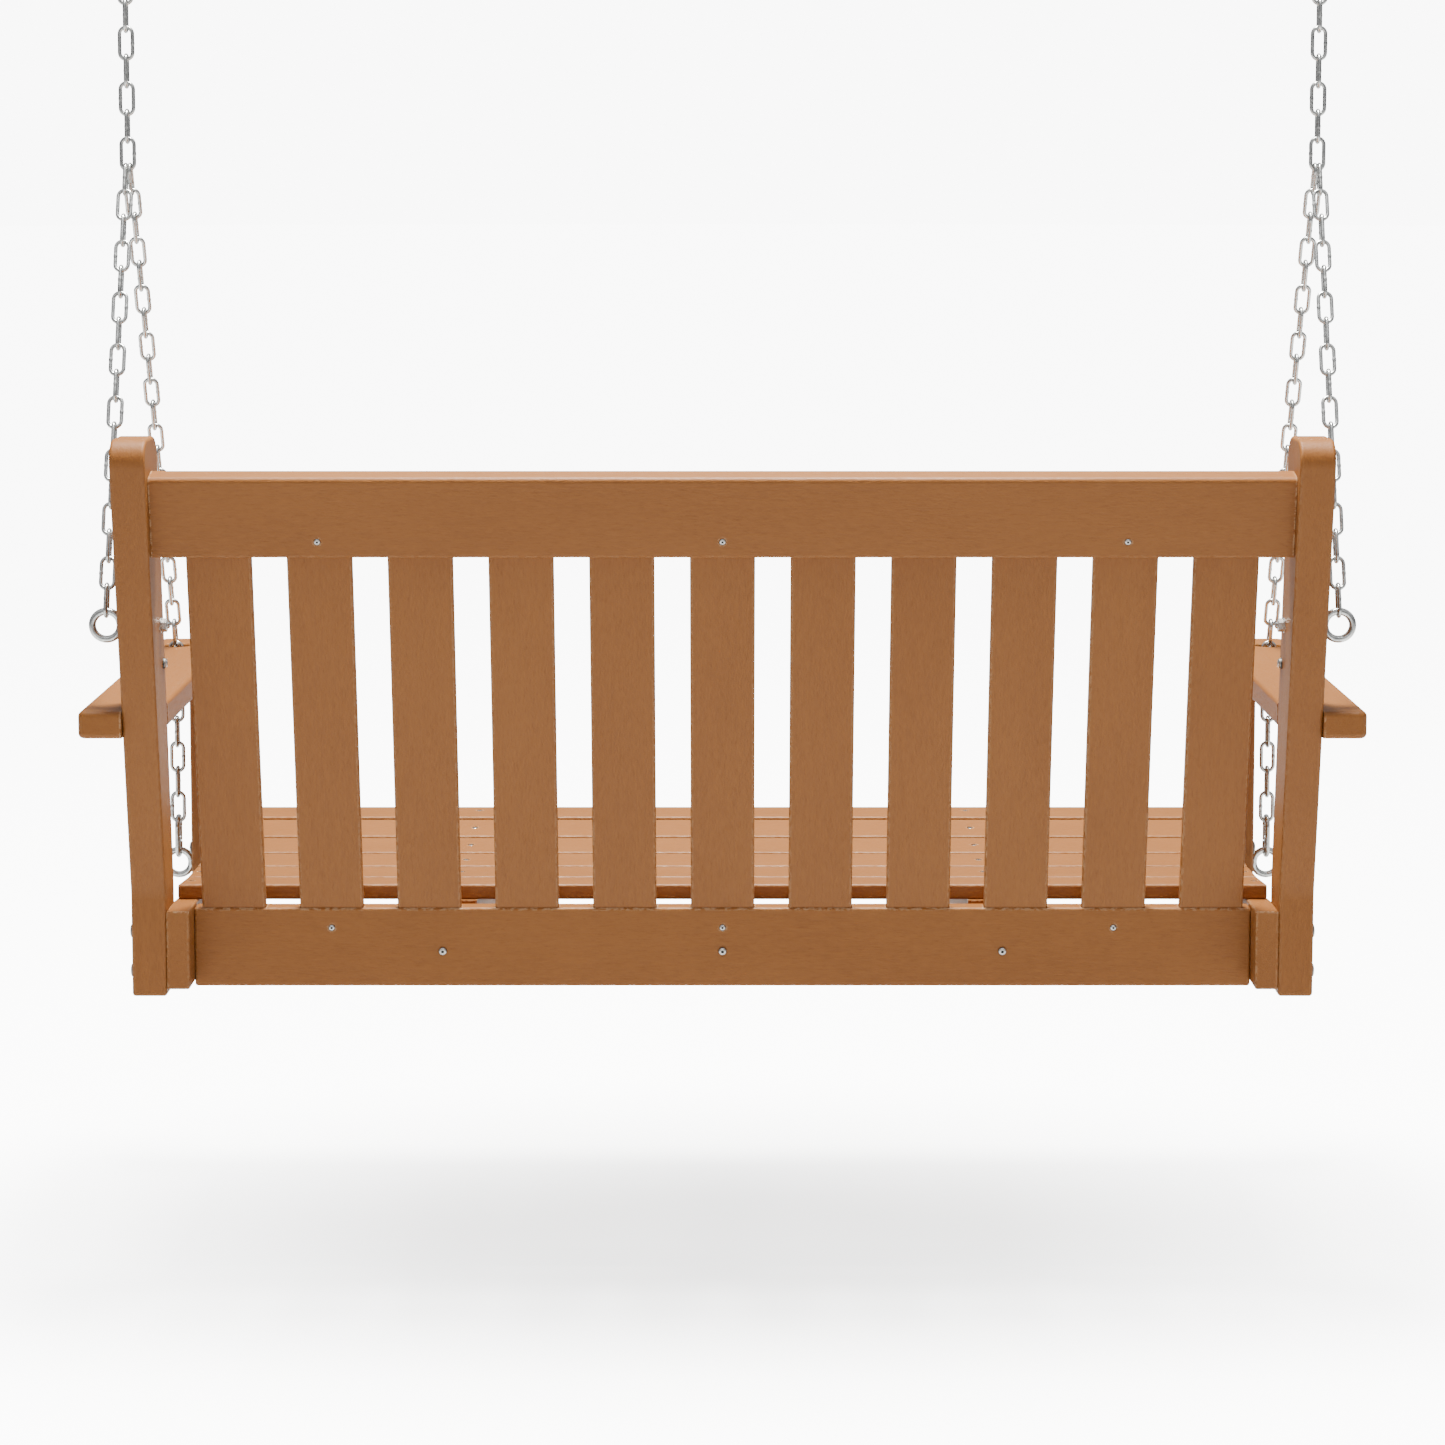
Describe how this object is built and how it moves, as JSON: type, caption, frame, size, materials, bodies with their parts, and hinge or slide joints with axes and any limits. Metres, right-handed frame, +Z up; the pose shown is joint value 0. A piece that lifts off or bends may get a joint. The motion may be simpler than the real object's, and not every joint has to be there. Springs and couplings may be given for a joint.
{
  "type": "porch swing",
  "caption": "Slatted bench for two hung on chains: sloped vertical-slat back, dished seat, flat arms.",
  "frame": {"origin": "midway between the two hang points, where ceiling hooks bear in the top snap hooks", "axes": "+X across the seat to the sitter's left, -Y forward, +Z up"},
  "size_m": [1.39, 0.6593, 1.205],
  "materials": {
    "lumber": "satin",
    "zinc": "satin",
    "stainless": "satin"
  },
  "bodies": {
    "hooks": {"top_snap_pins": "zinc", "top_snaps": "zinc"},
    "top_links": {"top_links": "zinc"},
    "hanger_left": {"hanger_chain_left": "zinc"},
    "hanger_right": {"hanger_chain_right": "zinc"},
    "yokes": {"yoke_links": "zinc"},
    "seat": {"arm_and_rail_screws": "stainless", "armrest_left": "lumber", "armrest_right": "lumber", "back_bottom_rail": "lumber", "back_leg_left": "lumber", "back_leg_right": "lumber", "back_slat_01": "lumber", "back_slat_02": "lumber", "back_slat_03": "lumber", "back_slat_04": "lumber", "back_slat_05": "lumber", "back_slat_06": "lumber", "back_slat_07": "lumber", "back_slat_08": "lumber", "back_slat_09": "lumber", "back_slat_10": "lumber", "back_slat_11": "lumber", "back_top_rail": "lumber", "bottom_rail_screws": "stainless", "cap_bolts": "stainless", "frame_bolts": "stainless", "front_chain_left": "zinc", "front_chain_right": "zinc", "front_eye_bolt_left": "zinc", "front_eye_bolt_right": "zinc", "front_post_left": "lumber", "front_post_right": "lumber", "front_rail": "lumber", "front_snap_pins": "zinc", "front_snaps": "zinc", "nuts": "stainless", "rear_chain_left": "zinc", "rear_chain_right": "zinc", "rear_eye_bolt_left": "zinc", "rear_eye_bolt_right": "zinc", "seat_screws": "stainless", "seat_slat_1": "lumber", "seat_slat_2": "lumber", "seat_slat_3": "lumber", "seat_slat_4": "lumber", "seat_slat_5": "lumber", "seat_slat_6": "lumber", "seat_support_left": "lumber", "seat_support_middle": "lumber", "seat_support_right": "lumber", "side_rail_left": "lumber", "side_rail_right": "lumber", "support_screws": "stainless", "top_rail_screws": "stainless", "washers": "stainless"},
    "top_gate_left": {"top_snap_gate_left": "zinc"},
    "top_gate_right": {"top_snap_gate_right": "zinc"},
    "front_gate_left": {"front_snap_gate_left": "zinc"},
    "front_gate_right": {"front_snap_gate_right": "zinc"}
  },
  "joints": [
    {"name": "swing", "type": "hinge", "parent": "hooks", "child": "top_links", "pos_m": [0, 0, -0.049], "axis": [1, 0, 0], "range_deg": [-25, 25]},
    {"name": "sway", "type": "hinge", "parent": "top_links", "child": "hanger_left", "pos_m": [0.67115, 0, -0.0792], "axis": [0, 1, 0], "range_deg": [-10, 10]},
    {"name": "sway_right", "type": "hinge", "parent": "top_links", "child": "hanger_right", "pos_m": [-0.67115, 0, -0.0792], "axis": [0, 1, 0], "range_deg": [-10, 10]},
    {"name": "level", "type": "hinge", "parent": "hanger_left", "child": "yokes", "pos_m": [0.67115, 0, -0.2652], "axis": [0, 1, 0], "range_deg": [-10, 10]},
    {"name": "tilt", "type": "hinge", "parent": "yokes", "child": "seat", "pos_m": [0, 0, -0.2962], "axis": [1, 0, 0], "range_deg": [-12, 12]},
    {"name": "top_gate_left_hinge", "type": "hinge", "parent": "hooks", "child": "top_gate_left", "pos_m": [0.68215, 0, -0.0308], "axis": [0, -1, 0], "range_deg": [0, 25], "stiffness_Nm_per_rad": 0.08, "springref_deg": -17.19},
    {"name": "top_gate_right_hinge", "type": "hinge", "parent": "hooks", "child": "top_gate_right", "pos_m": [-0.68215, 0, -0.0308], "axis": [0, 1, 0], "range_deg": [0, 25], "stiffness_Nm_per_rad": 0.08, "springref_deg": -17.19},
    {"name": "front_gate_left_hinge", "type": "hinge", "parent": "seat", "child": "front_gate_left", "pos_m": [0.66815, -0.30144, -1.11807], "axis": [-1, 0, 0], "range_deg": [0, 25], "stiffness_Nm_per_rad": 0.08, "springref_deg": -17.19},
    {"name": "front_gate_right_hinge", "type": "hinge", "parent": "seat", "child": "front_gate_right", "pos_m": [-0.66815, -0.30144, -1.11807], "axis": [-1, 0, 0], "range_deg": [0, 25], "stiffness_Nm_per_rad": 0.08, "springref_deg": -17.19}
  ],
  "couplings": [
    {"joint": "sway_right", "follows": "sway", "ratio": 1},
    {"joint": "level", "follows": "sway", "ratio": -1}
  ]
}
